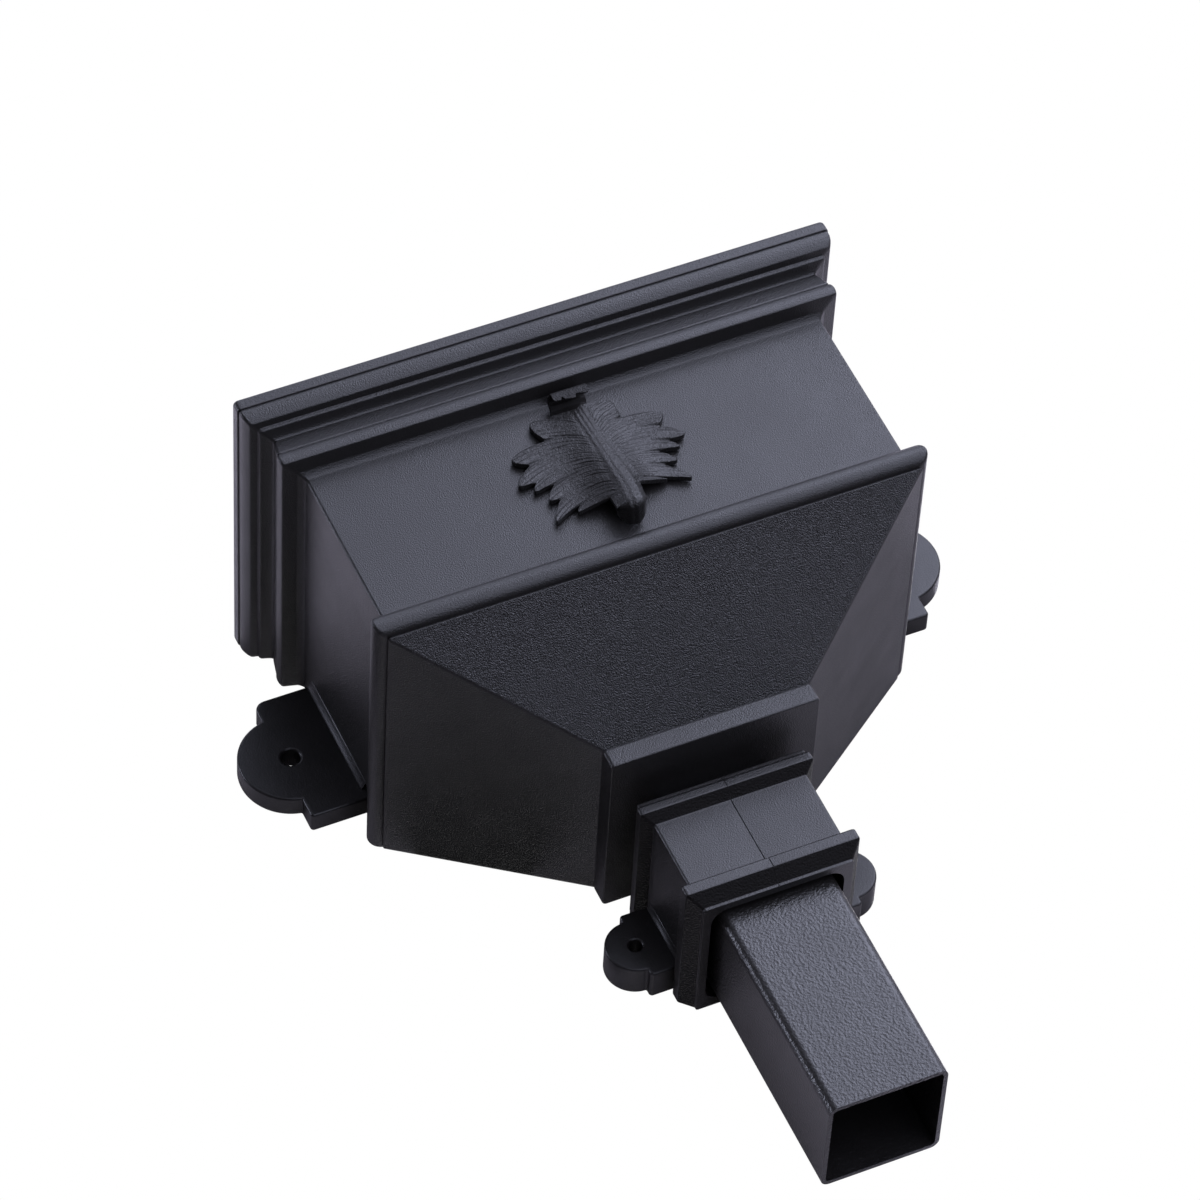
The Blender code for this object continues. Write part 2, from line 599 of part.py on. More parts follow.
def leaf_point(vein, reach, x, depth):
    """A point of the leaf at a depth below its face: across, out from the panel, and up."""
    spread = smoothstep(-36 * MM, -28 * MM, vein) * (1 - smoothstep(26 * MM, 46 * MM, vein))
    sweep = LEAF_VEIN_RISE * abs(x) + (LEAF_VEIN_SPREAD * vein - LEAF_VEIN_DROOP) * x * x
    sweep += LEAF_VEIN_LIFT * (1 - math.exp(-abs(x) / LEAF_VEIN_LIFT_WIDTH))
    along = vein + spread * sweep
    wave = math.cos(math.tau * x / LEAF_LIP_WAVE_WIDTH)
    along -= LEAF_LIP_WAVE * wave * smoothstep(LEAF_LIP_WAVE_START, LEAF_LIP_WAVE_FULL, vein)
    fall = min(max((LEAF_CURL_START - along) / (LEAF_CURL_START - LEAF_ROLL_START), 0), 1)
    rib = LEAF_RIB_TOP_HEIGHT + (LEAF_RIB_TIP_HEIGHT - LEAF_RIB_TOP_HEIGHT) * fall ** 1.2
    out, up, turn = rib, along, 0.0
    least = FIT_GAP + LEAF_THICKNESS - depth
    if along > LEAF_CURL_START:
        turn = (along - LEAF_CURL_START) / LEAF_CURL_RADIUS
        out = rib + LEAF_CURL_RADIUS * (1 - math.cos(turn))
        up = LEAF_CURL_START + LEAF_CURL_RADIUS * math.sin(turn)
    elif along < LEAF_ROLL_START:
        turn = min((LEAF_ROLL_START - along) / LEAF_ROLL_RADIUS, LEAF_ROLL_ANGLE)
        past = LEAF_ROLL_START - along - LEAF_ROLL_RADIUS * turn
        out = rib - LEAF_ROLL_RADIUS * (1 - math.cos(turn)) - past * math.sin(turn)
        up = LEAF_ROLL_START - LEAF_ROLL_RADIUS * math.sin(turn) - past * math.cos(turn)
        least = FIT_GAP + (LEAF_THICKNESS - depth) * math.cos(turn)
    lobe_height = FIT_GAP + LEAF_THICKNESS + LEAF_FLUTE_DEPTH
    flatness = 1 - LEAF_TIP_FLATNESS * smoothstep(26 * MM, 34 * MM, -along)
    drop = (rib - lobe_height) * flatness * (1 - math.exp(-(x / LEAF_ARCH_WIDTH) ** 2)) + depth
    drop += leaf_notch_depth(vein, reach, x) - LEAF_RIB_HEIGHT * math.exp(-(x / LEAF_RIB_WIDTH) ** 2)
    out -= drop * math.cos(turn)
    up += drop * math.sin(turn)
    return x, max(out, least), up


def build_leaf(parts, material):
    """The acanthus leaf: a lobed sheet with its sides on the panel, arched over its midrib."""
    bm = bmesh.new()
    sheets = []
    for depth in (0, LEAF_THICKNESS):
        sheet = []
        for vein, reach in leaf_rows():
            row = []
            for column in range(LEAF_COLUMNS + 1):
                share = 2 * column / LEAF_COLUMNS - 1
                across, out, up = leaf_point(vein, reach, reach * share * abs(share) ** 0.5, depth)
                row.append(bm.verts.new((across, -BOX_DEPTH - out, LEAF_CENTRE_HEIGHT + up)))
            sheet.append(row)
        sheets.append(sheet)
    rims = []
    for sheet in sheets:
        for upper, lower in zip(sheet, sheet[1:]):
            for column in range(LEAF_COLUMNS):
                bm.faces.new((upper[column], lower[column], lower[column + 1], upper[column + 1]))
        left = [row[0] for row in sheet]
        right = [row[-1] for row in sheet]
        rims.append(sheet[0] + right[1:] + sheet[-1][-2::-1] + left[-2:0:-1])
    loft(bm, rims, capped=False)
    leaf = add_object("leaf_motif", bm, parts, material)
    leaf.data.shade_smooth()
    return leaf


def main():
    clear_scene()
    parts = new_collection("downpipe_hopper_head")
    cutters = new_collection("cutters")
    build_hopper_head(parts, cutters, plastic("head_plastic", (0.020, 0.020, 0.023), 0.48))
    build_leaf(parts, plastic("leaf_plastic", (0.019, 0.019, 0.021), 0.42))
    build_connector(parts, cutters, plastic("connector_plastic", (0.021, 0.021, 0.024), 0.50))
    build_downpipe(parts, plastic("pipe_plastic", (0.022, 0.022, 0.025), 0.46))


main()
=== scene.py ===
import math

import bmesh
import bpy
from mathutils import Matrix, Vector, noise


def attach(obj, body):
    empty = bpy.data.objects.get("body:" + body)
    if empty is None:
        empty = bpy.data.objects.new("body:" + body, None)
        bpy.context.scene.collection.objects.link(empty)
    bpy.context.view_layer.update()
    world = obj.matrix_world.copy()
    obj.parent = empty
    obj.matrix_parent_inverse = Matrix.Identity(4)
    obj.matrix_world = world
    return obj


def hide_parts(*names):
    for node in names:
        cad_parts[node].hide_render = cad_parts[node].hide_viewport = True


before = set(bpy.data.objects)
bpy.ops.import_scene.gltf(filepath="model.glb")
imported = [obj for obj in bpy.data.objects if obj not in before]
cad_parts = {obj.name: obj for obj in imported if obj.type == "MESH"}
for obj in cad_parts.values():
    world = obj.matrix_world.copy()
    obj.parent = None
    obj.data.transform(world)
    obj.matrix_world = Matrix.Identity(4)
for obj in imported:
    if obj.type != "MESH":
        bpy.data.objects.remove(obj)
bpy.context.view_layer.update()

MM = 0.001

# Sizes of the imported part, in millimetres. Heights are over the head's fixing holes.
BOX_HALF_WIDTH = 144.0
BOX_DEPTH = 168.0
BOX_WALL = 3.5
RIM_TOP = 94.5
RIM_FOOT = 88.0
RIM_WALL = 4.0
RIM_PROJECTION = 21.4
BEAD_CENTRE = -56.65
FUNNEL_TOP = -64.3
FUNNEL_BOTTOM = -128.8
FLANGE_BOTTOM = -140.2
SPIGOT_BOTTOM = -174.2
CONNECTOR_HALF = 42.4
CONNECTOR_TOP = -148.6
CONNECTOR_BOTTOM = -218.8
PIPE_HALF = 32.5
PIPE_CENTRE = 42.4
PIPE_WALL = 2.5
PIPE_TOP = -186.2
PIPE_END = -346.0

CORNER_STEPS = 8
PIPE_CORNER_STEPS = 12
SHARPEST_CORNER = 0.05
SEAM_DEPTH = 0.6
SEAM_HALF_WIDTH, SEAM_HALF_FLOOR = 0.3, 0.12
FLATS_WEIGHT = 80


def soften(knots, steps=5):
    """Round the corners of a chain of knots. The last number of a knot is how far its rounding reaches."""
    path = []
    for index, knot in enumerate(knots):
        point, reach = Vector(knot[:-1]), knot[-1]
        if reach == 0 or index in (0, len(knots) - 1):
            path.append(point)
            continue
        before = Vector(knots[index - 1][:-1]) - point
        after = Vector(knots[index + 1][:-1]) - point
        start = point + before * min(reach / before.length, 0.49)
        end = point + after * min(reach / after.length, 0.49)
        for step in range(steps + 1):
            t = step / steps
            path.append(start * (1 - t) ** 2 + point * 2 * t * (1 - t) + end * t ** 2)
    return path


def bow(start, end, rise, steps):
    """Points of a shallow arc from start to end, standing out to the right by rise, both ends left out."""
    points = []
    for step in range(1, steps):
        t = step / steps
        x = start[0] + (end[0] - start[0]) * t
        y = start[1] + (end[1] - start[1]) * t
        points.append((x + 4 * rise * t * (1 - t), y, 0))
    return points


def ring(half_width, back, front, height, corner, steps=CORNER_STEPS, seam=None):
    """A rounded rectangle lying flat, from the back plane out to the front, in metres. A seam is a depth: it
    cuts a thin line of that depth down the middle of the front."""
    corner = max(corner, SHARPEST_CORNER)
    corners = (
        (half_width - corner, -back - corner, 0),
        (corner - half_width, -back - corner, 90),
        (corner - half_width, corner - front, 180),
        (half_width - corner, corner - front, 270),
    )
    points = []
    for x, y, start in corners:
        if start == 270 and seam is not None:
            cut = ((-SEAM_HALF_WIDTH, 0), (-SEAM_HALF_FLOOR, seam),
                   (SEAM_HALF_FLOOR, seam), (SEAM_HALF_WIDTH, 0))
            points += [(across * MM, (inward - front) * MM, height * MM) for across, inward in cut]
        for step in range(steps + 1):
            angle = math.radians(start + 90 * step / steps)
            across, outward_by = x + corner * math.cos(angle), y + corner * math.sin(angle)
            points.append((across * MM, outward_by * MM, height * MM))
    return points


def shell(name, path, steps=CORNER_STEPS, seamed_beyond=None):
    """A closed skin through a chain of rings that ends where it began. Rings whose front stands out beyond
    the given distance have a mould seam."""
    verts = []
    for station in path:
        front = station[2]
        seam = None if seamed_beyond is None else SEAM_DEPTH if front > seamed_beyond else 0.0
        verts += ring(*station, steps=steps, seam=seam)
    total = len(path)
    count = len(verts) // total
    faces = []
    for level in range(total):
        upper, lower = level * count, (level + 1) % total * count
        for index in range(count):
            following = (index + 1) % count
            faces.append((upper + index, upper + following, lower + following, lower + index))
    mesh = bpy.data.meshes.new(name)
    mesh.from_pydata(verts, [], faces)
    return outward(name, mesh)


def link(name, data):
    """Put a mesh, lamp, curve or camera in the scene."""
    item = bpy.data.objects.new(name, data)
    bpy.context.scene.collection.objects.link(item)
    return item


def outward(name, mesh):
    """Put a mesh in the scene with its faces outward, smooth, and its broad faces kept flat."""
    bm = bmesh.new()
    bm.from_mesh(mesh)
    bmesh.ops.recalc_face_normals(bm, faces=bm.faces)
    bm.to_mesh(mesh)
    bm.free()
    mesh.shade_smooth()
    piece = link(name, mesh)
    weighted = piece.modifiers.new("flats", "WEIGHTED_NORMAL")
    weighted.mode = "FACE_AREA_WITH_ANGLE"
    weighted.weight = FLATS_WEIGHT
    return piece


def dress(piece, nodes, slot_name, *materials):
    """Give a piece its materials, its body and the solids it stands for."""
    piece.data.materials.clear()
    for material in materials:
        piece.data.materials.append(material)
    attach(piece, "root")
    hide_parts(*nodes)
    return piece


# Materials

CLOUD_SCALE, CLOUD_LOW, CLOUD_HIGH = 38.0, 0.3, 0.7
ROUGHNESS_SWING = 0.04
CARD_CLOUD_SCALE, CARD_SWING = 3.0, 0.1
CARD_ROUGHNESS = 0.9
CARD_TINT = (1.0, 0.92, 0.91)


def noise_node(nodes, scale, detail, roughness):
    node = nodes.new("ShaderNodeTexNoise")
    for key, value in (("Scale", scale), ("Detail", detail), ("Roughness", roughness)):
        node.inputs[key].default_value = value
    return node


def ranged(tree, source, from_low, from_high, to_low, to_high):
    """The output of a node that carries a noise's values over to another range."""
    node = tree.nodes.new("ShaderNodeMapRange")
    limits = (("From Min", from_low), ("From Max", from_high), ("To Min", to_low), ("To Max", to_high))
    for key, value in limits:
        node.inputs[key].default_value = value
    tree.links.new(source.outputs["Fac"], node.inputs["Value"])
    return node.outputs["Result"]


def tinted(tree, colour, tone):
    """The output of a node that multiplies a colour by a tone."""
    node = tree.nodes.new("ShaderNodeMix")
    node.data_type = "RGBA"
    node.blend_type = "MULTIPLY"
    node.inputs["Factor"].default_value = 1.0
    node.inputs["A"].default_value = (*colour, 1)
    tree.links.new(tone, node.inputs["B"])
    return node.outputs["Result"]


def plastic(name, colour, roughness, grain_mm, grain_height, mottle=0.12, second_mm=None, second_height=0.0,
            specular=0.5):
    """Moulded plastic with mottled colour and roughness and one or two sizes of grain, in millimetres."""
    material = bpy.data.materials.new(name)
    material.use_nodes = True
    tree = material.node_tree
    nodes, links = tree.nodes, tree.links
    shader = nodes["Principled BSDF"]
    shader.inputs["Metallic"].default_value = 0.0
    shader.inputs["IOR"].default_value = 1.5
    shader.inputs["Specular IOR Level"].default_value = specular
    place = nodes.new("ShaderNodeTexCoord")

    cloud = noise_node(nodes, CLOUD_SCALE, 4.0, 0.6)
    links.new(place.outputs["Object"], cloud.inputs["Vector"])
    tone = ranged(tree, cloud, CLOUD_LOW, CLOUD_HIGH, 1 - mottle, 1 + mottle)
    links.new(tinted(tree, colour, tone), shader.inputs["Base Color"])
    gloss = ranged(tree, cloud, CLOUD_LOW, CLOUD_HIGH, roughness - ROUGHNESS_SWING,
                   roughness + ROUGHNESS_SWING)
    links.new(gloss, shader.inputs["Roughness"])

    normal = None
    for size, height in ((grain_mm, grain_height), (second_mm, second_height)):
        if not size:
            continue
        grain = noise_node(nodes, 1 / (size * MM), 1.0, 0.5)
        links.new(place.outputs["Object"], grain.inputs["Vector"])
        bump = nodes.new("ShaderNodeBump")
        bump.inputs["Strength"].default_value = 1.0
        bump.inputs["Distance"].default_value = height * MM
        links.new(grain.outputs["Fac"], bump.inputs["Height"])
        if normal is not None:
            links.new(normal, bump.inputs["Normal"])
        normal = bump.outputs["Normal"]
    links.new(normal, shader.inputs["Normal"])
    return material


def paint(name, grey):
    """A matt warm grey with a faint mottle, for the cards round the part."""
    material = bpy.data.materials.new(name)
    material.use_nodes = True
    tree = material.node_tree
    shader = tree.nodes["Principled BSDF"]
    shader.inputs["Roughness"].default_value = CARD_ROUGHNESS
    cloud = noise_node(tree.nodes, CARD_CLOUD_SCALE, 2.0, 0.5)
    tone = ranged(tree, cloud, 0, 1, (1 - CARD_SWING) * grey, (1 + CARD_SWING) * grey)
    tree.links.new(tinted(tree, CARD_TINT, tone), shader.inputs["Base Color"])
    return material


CHARCOAL = (0.0108, 0.0100, 0.0095)
head_plastic = plastic("head_satin", CHARCOAL, 0.36, 0.7, 0.26, mottle=0.06)
stippled_plastic = plastic("head_stippled", CHARCOAL, 0.38, 0.7, 1.6, specular=0.57)
ear_plastic = plastic("head_ear", CHARCOAL, 0.36, 0.8, 0.08, specular=0.42)
leaf_plastic = plastic("leaf_satin", CHARCOAL, 0.36, 0.7, 0.34, second_mm=1.9, second_height=0.30,
                       specular=0.46)
# Painted shade: the hollow under the leaf's curled lip is given this dull material with almost no sheen, so
# that it looks dark
hollow_shade_plastic = plastic("leaf_hollow_painted_shade", CHARCOAL, 0.45, 0.8, 0.20, specular=0.05)
# The lip's outside: coarser grain of its own, and less sheen, which is painted shade under the cornice
lip_grain_and_shade_plastic = plastic("leaf_lip_grain_and_shade", CHARCOAL, 0.42, 0.9, 0.60, specular=0.22)
connector_plastic = plastic("connector_satin", CHARCOAL, 0.36, 0.8, 0.20)
# Painted shade: the coves under the connector's collars take this material with almost no sheen, to look dark
collar_shade_plastic = plastic("connector_collar_painted_shade", CHARCOAL, 0.42, 1.0, 0.5, specular=0.06)
pipe_plastic = plastic("pipe_grain", CHARCOAL, 0.31, 1.3, 0.32, specular=0.55)


# Hopper head. A knot is half a width, where its back and front lie, its height, its corners' radius and how
# far its rounding reaches.

PLAIN_CORNER, RIM_CORNER, INNER_CORNER = 1.6, 2.6, 2.0
INNER_ROUNDING = 3.0
BEAD_ROOT, BEAD_REACH, BEAD_HALF_HEIGHT, BEAD_STEPS = 2.4, 6.2, 6.45, 14


def pipe_knot(half, height, corner, reach=0.0):
    """A knot of a square tube round the pipe's middle line."""
    return (half, PIPE_CENTRE - half, PIPE_CENTRE + half, height, corner, reach)


def box_knot(projection, height, reach):
    """A knot of the hopper's outside, by how far it stands out from the box."""
    corner = RIM_CORNER if height > RIM_FOOT else PLAIN_CORNER
    return (BOX_HALF_WIDTH + projection, 0.0, BOX_DEPTH + projection, height, corner, reach)


def inner_knot(projection, height, reach=INNER_ROUNDING):
    """A knot of the hopper's inside, by how far it lies beyond the box's outside."""
    return (BOX_HALF_WIDTH + projection, BOX_WALL, BOX_DEPTH + projection, height, INNER_CORNER, reach)


# Each point of the cornice and the bead is how far it stands out from the box, its height and how far its
# rounding reaches
cornice = [(RIM_PROJECTION, RIM_TOP, 2.0), (RIM_PROJECTION, 88.1, 0.6), (20.3, 87.7, 0.3), (20.7, 87.1, 0.4)]
cornice += bow((20.7, 87.1), (18.2, 78.7), 0.8, 8)
cornice += [(18.2, 78.7, 0.7), (14.5, 77.8, 0.4), (14.2, 75.9, 0.5), (13.4, 75.5, 0.2)]
cornice += bow((13.4, 75.5), (7.8, 72.6), -1.3, 8)
cornice += [(7.8, 72.6, 0.3), (7.1, 72.1, 0.3), (8.2, 71.5, 0.5), (10.3, 62.6, 0.7), (9.6, 61.9, 0.3),
            (10.8, 61.3, 0.6)]
cornice += bow((10.8, 61.3), (10.7, 54.1), 0.7, 8)
cornice += [(10.7, 54.1, 1.0), (3.3, 52.1, 0.6)]
cornice += bow((3.3, 52.1), (0.0, 48.6), -0.5, 5)
cornice += [(0.0, 48.6, 1.5)]
bead = [(0.0, -50.0, 0.3), (BEAD_ROOT, -50.3, 0.3)]
for step in range(1, BEAD_STEPS):
    angle = math.radians(90 - 180 * step / BEAD_STEPS)
    bead.append((BEAD_ROOT + BEAD_REACH * math.cos(angle),
                 BEAD_CENTRE + BEAD_HALF_HEIGHT * math.sin(angle), 0))
bead += [(BEAD_ROOT, -63.1, 0.3), (3.3, FUNNEL_TOP, 0.6)]

rim_inside = inner_knot(RIM_PROJECTION - RIM_WALL, RIM_TOP, 0.0)
head_knots = [rim_inside] + [box_knot(*point) for point in cornice + bead]
head_knots += [
    (57.0, 0.0, 114.0, FUNNEL_BOTTOM, 2.0, 0.8),
    (57.6, 0.0, 114.6, -129.4, 2.0, 0.8),
    (57.6, 0.0, 114.6, FLANGE_BOTTOM, 2.0, 1.3),
    (32.5, 9.9, 74.9, FLANGE_BOTTOM, 5.0, 0.4),
    (32.5, 9.9, 74.9, SPIGOT_BOTTOM, 5.0, 0.6),
    (29.5, 12.9, 71.9, SPIGOT_BOTTOM, 2.0, 0.6),
    (29.5, 12.9, 71.9, -136.4, 2.0, INNER_ROUNDING),
    (51.6, BOX_WALL, 109.9, FUNNEL_BOTTOM, 2.0, INNER_ROUNDING),
    inner_knot(-BOX_WALL, -60.8),
    inner_knot(-BOX_WALL, 51.3),
    inner_knot(3.3, 65.5),
    inner_knot(3.3, 74.3),
    inner_knot(RIM_PROJECTION - RIM_WALL, 84.8),
    rim_inside,
]
head = shell("head_shell", soften(head_knots)[:-1])
dress(head, ["hopper_head"], "head_plastic", head_plastic, stippled_plastic)
# The funnel's front slope takes the stippled finish
for face in head.data.polygons:
    centre = face.center / MM
    if FUNNEL_BOTTOM < centre.z < FUNNEL_TOP - 0.5 and centre.y < -100 and face.normal.y < -0.5:
        face.material_index = 1

# Ears

HOLE_STEPS = 40
HOLE_TAPER = 0.72
EDGE_SEGMENTS = 4
LOBE_STEPS = 64
PLATE_CORNER_STEPS = 6


def plate(name, outline, hole, thickness, edge_radius):
    """A flat plate with rounded edges and a round hole that narrows toward the wall, in millimetres."""
    hole_x, hole_y, hole_radius = hole
    curve = bpy.data.curves.new(name, "CURVE")
    curve.dimensions = "2D"
    curve.fill_mode = "BOTH"
    curve.extrude = thickness / 2 * MM
    turns = [math.tau * step / HOLE_STEPS for step in range(HOLE_STEPS)]
    circle = [(hole_x + hole_radius * math.cos(turn), hole_y + hole_radius * math.sin(turn))
              for turn in turns]
    for points in (outline, circle):
        spline = curve.splines.new("POLY")
        spline.points.add(len(points) - 1)
        for point, (x, y) in zip(spline.points, points):
            point.co = (x * MM, y * MM, 0, 1)
        spline.use_cyclic_u = True
    holder = link(name, curve)
    bpy.context.view_layer.update()
    mesh = bpy.data.meshes.new_from_object(holder.evaluated_get(bpy.context.evaluated_depsgraph_get()))
    bpy.data.objects.remove(holder, do_unlink=True)
    bm = bmesh.new()
    bm.from_mesh(mesh)
    bmesh.ops.remove_doubles(bm, verts=bm.verts, dist=0.01 * MM)
    centre = Vector((hole_x * MM, hole_y * MM, 0))
    for vert in bm.verts:
        around = Vector((vert.co.x, vert.co.y, 0)) - centre
        if vert.co.z < 0 and around.length < (hole_radius + 0.1) * MM:
            vert.co.x, vert.co.y = (centre + HOLE_TAPER * around).xy
    stand = Matrix.Translation((0, -thickness / 2 * MM, 0)) @ Matrix.Rotation(math.radians(90), 4, "X")
    bmesh.ops.transform(bm, matrix=stand, verts=bm.verts)
    bmesh.ops.dissolve_limit(bm, angle_limit=math.radians(1), verts=bm.verts, edges=bm.edges)
    sharp = [edge for edge in bm.edges
             if len(edge.link_faces) == 2 and edge.calc_face_angle() > math.radians(35)]
    bmesh.ops.bevel(bm, geom=sharp, offset=edge_radius * MM, segments=EDGE_SEGMENTS, profile=0.5,
                    affect="EDGES")
    bmesh.ops.triangulate(bm, faces=[face for face in bm.faces if len(face.verts) > 4])
    bm.to_mesh(mesh)
    bm.free()
    return mesh


def ear_outline(root, edge, lobe_x, lobe_radius, half_height, top_radius, bottom_radius):
    """Outline of a right-hand ear: a plate with rounded corners and a round lobe on its edge."""
    shoulder = math.sqrt(lobe_radius ** 2 - (edge - lobe_x) ** 2)
    half_angle = math.atan2(shoulder, edge - lobe_x)
    points = [(root, -half_height)]
    for step in range(PLATE_CORNER_STEPS + 1):
        angle = math.radians(-90 + 90 * step / PLATE_CORNER_STEPS)
        points.append((edge - bottom_radius * (1 - math.cos(angle)),
                       bottom_radius - half_height + bottom_radius * math.sin(angle)))
    for step in range(LOBE_STEPS + 1):
        angle = half_angle * (2 * step / LOBE_STEPS - 1)
        points.append((lobe_x + lobe_radius * math.cos(angle), lobe_radius * math.sin(angle)))
    for step in range(PLATE_CORNER_STEPS + 1):
        angle = math.radians(90 * step / PLATE_CORNER_STEPS)
        points.append((edge - top_radius * (1 - math.cos(angle)),
                       half_height - top_radius + top_radius * math.sin(angle)))
    points.append((root, half_height))
    return points


def mirrored(name, mesh, side, height):
    """A copy of a right-hand mesh moved to its height, on the left if side is -1."""
    copy = mesh.copy()
    copy.transform(Matrix.Translation((0, 0, height * MM)) @ Matrix.Diagonal((side, 1, 1, 1)))
    if side < 0:
        copy.flip_normals()
    return outward(name, copy)


WEB_ROOT, WEB_FOOT, WEB_HOLLOW, WEB_STEPS = 1.0, 1.5, 0.3, 6


def web(side_x, thickness, width, depth, low, high):
    """The sloped, slightly hollow strip that fills the corner between an ear and the side it stands on."""
    section = [(side_x - WEB_ROOT, -thickness + WEB_FOOT), (side_x + width, -thickness + WEB_FOOT),
               (side_x + width, -thickness)]
    for step in range(1, WEB_STEPS):
        t = step / WEB_STEPS
        section.append((side_x + width * (1 - t) - WEB_HOLLOW * math.sin(math.pi * t),
                        -thickness - depth * t))
    section += [(side_x, -thickness - depth), (side_x - WEB_ROOT, -thickness - depth)]
    bm = bmesh.new()
    base = [bm.verts.new((x * MM, y * MM, low * MM)) for x, y in section]
    made = bmesh.ops.extrude_face_region(bm, geom=[bm.faces.new(base)])
    top = [item for item in made["geom"] if isinstance(item, bmesh.types.BMVert)]
    bmesh.ops.translate(bm, verts=top, vec=(0, 0, (high - low) * MM))
    mesh = bpy.data.meshes.new("web")
    bm.to_mesh(mesh)
    bm.free()
    return mesh


HEAD_EAR_THICKNESS, HEAD_LOBE_X = 13.0, 171.9
SMALL_EAR_THICKNESS, SMALL_LOBE_X, SMALL_EAR_HEIGHT = 19.0, 59.0, -182.25
head_outline = ear_outline(root=BOX_HALF_WIDTH - BOX_WALL, edge=176.8, lobe_x=HEAD_LOBE_X, lobe_radius=27.8,
                           half_height=40.0, top_radius=6.0, bottom_radius=2.0)
head_plate = plate("head_ear_plate", head_outline, (HEAD_LOBE_X, 0.0, 5.2), HEAD_EAR_THICKNESS, 1.3)
head_web = web(BOX_HALF_WIDTH, HEAD_EAR_THICKNESS, width=2.6, depth=5.2, low=-33.5, high=38.7)
small_outline = ear_outline(root=38.4, edge=59.2, lobe_x=SMALL_LOBE_X, lobe_radius=15.8, half_height=20.2,
                            top_radius=2.0, bottom_radius=2.0)
small_plate = plate("connector_ear_plate", small_outline, (SMALL_LOBE_X, 0.0, 3.6), SMALL_EAR_THICKNESS, 1.2)
small_web = web(CONNECTOR_HALF, SMALL_EAR_THICKNESS, width=1.8, depth=4.0, low=-18.2, high=19.0)
for label, side in (("left", -1), ("right", 1)):
    for part, mesh, height, node, slot_name in (
        ("head_ear", head_plate, 0.0, "hopper_head", "head_plastic"),
        ("head_web", head_web, 0.0, "hopper_head", "head_plastic"),
        ("connector_ear", small_plate, SMALL_EAR_HEIGHT, "pipe_connector", "connector_plastic"),
        ("connector_web", small_web, SMALL_EAR_HEIGHT, "pipe_connector", "connector_plastic"),
    ):
        dress(mirrored(f"{part}_{label}", mesh, side, height), [node], slot_name, ear_plastic)


# Pipe connector

CONNECTOR_CORNER = 1.4
SOCKET_HALF, SOCKET_CORNER, SOCKET_TOP_CORNER = 32.8, 5.3, 5.0
MOUTH_HALF, MOUTH_CORNER = 36.7, 9.2
STOP_HALF, STOP_CORNER = 29.5, 2.0
STOP_TOP, STOP_BOTTOM = -178.2, -182.2
UPPER_COVE, LOWER_COVE = (-161.1, -156.4), (-217.3, -210.8)
SEAMED_BEYOND = 80.0

connector_outside = (
    (4.0, CONNECTOR_TOP, 0.6), (4.0, -150.8, 0.3), (4.7, -151.2, 0.3), (5.5, -152.0, 0.5),
    (5.5, UPPER_COVE[1], 0.7), (0.0, UPPER_COVE[0], 0.8), (0.0, -203.4, 0.4), (4.7, -204.2, 0.3),
    (5.5, -205.0, 0.5), (5.5, LOWER_COVE[1], 0.7), (-1.1, LOWER_COVE[0], 0.6), (-1.1, CONNECTOR_BOTTOM, 0.4),
)
connector_knots = [pipe_knot(SOCKET_HALF, CONNECTOR_TOP, SOCKET_TOP_CORNER)]
for projection, height, reach in connector_outside:
    connector_knots.append((CONNECTOR_HALF + projection, 0.0, 2 * CONNECTOR_HALF + projection, height,
                            CONNECTOR_CORNER, reach))
connector_knots += [
    pipe_knot(MOUTH_HALF, CONNECTOR_BOTTOM, MOUTH_CORNER, 0.3),
    pipe_knot(MOUTH_HALF, -207.8, MOUTH_CORNER, 1.0),
    pipe_knot(SOCKET_HALF, -203.8, SOCKET_CORNER, 1.0),
    pipe_knot(SOCKET_HALF, STOP_BOTTOM, SOCKET_CORNER, 0.2),
    pipe_knot(STOP_HALF, STOP_BOTTOM, STOP_CORNER, 0.3),
    pipe_knot(STOP_HALF, STOP_TOP, STOP_CORNER, 0.3),
    pipe_knot(SOCKET_HALF, STOP_TOP, SOCKET_CORNER, 0.2),
    pipe_knot(SOCKET_HALF, CONNECTOR_TOP, SOCKET_TOP_CORNER),
]
connector = shell("connector_shell", soften(connector_knots)[:-1], seamed_beyond=SEAMED_BEYOND)
dress(connector, ["pipe_connector"], "connector_plastic", connector_plastic, collar_shade_plastic)
# The coves under the two collars take a material with coarser grain and almost no sheen, the missing sheen
# being painted shade under the collars
for face in connector.data.polygons:
    height = face.center.z / MM
    if face.normal.z < -0.4 and any(low < height < high for low, high in (UPPER_COVE, LOWER_COVE)):
        face.material_index = 1

# Downpipe

PIPE_CORNER, BORE_CORNER, PIPE_EDGE = 5.0, 2.5, 0.3
pipe_knots = [
    pipe_knot(PIPE_HALF - PIPE_WALL, PIPE_TOP, BORE_CORNER),
    pipe_knot(PIPE_HALF, PIPE_TOP, PIPE_CORNER, PIPE_EDGE),
    pipe_knot(PIPE_HALF, PIPE_END, PIPE_CORNER, PIPE_EDGE),
    pipe_knot(PIPE_HALF - PIPE_WALL, PIPE_END, BORE_CORNER, PIPE_EDGE),
    pipe_knot(PIPE_HALF - PIPE_WALL, PIPE_TOP, BORE_CORNER),
]
pipe = shell("pipe_length", soften(pipe_knots)[:-1], steps=PIPE_CORNER_STEPS)
dress(pipe, ["downpipe"], "pipe_plastic", pipe_plastic)

# Leaf. A row's vein is its height at the rib, and x runs across it from the rib, to the right.

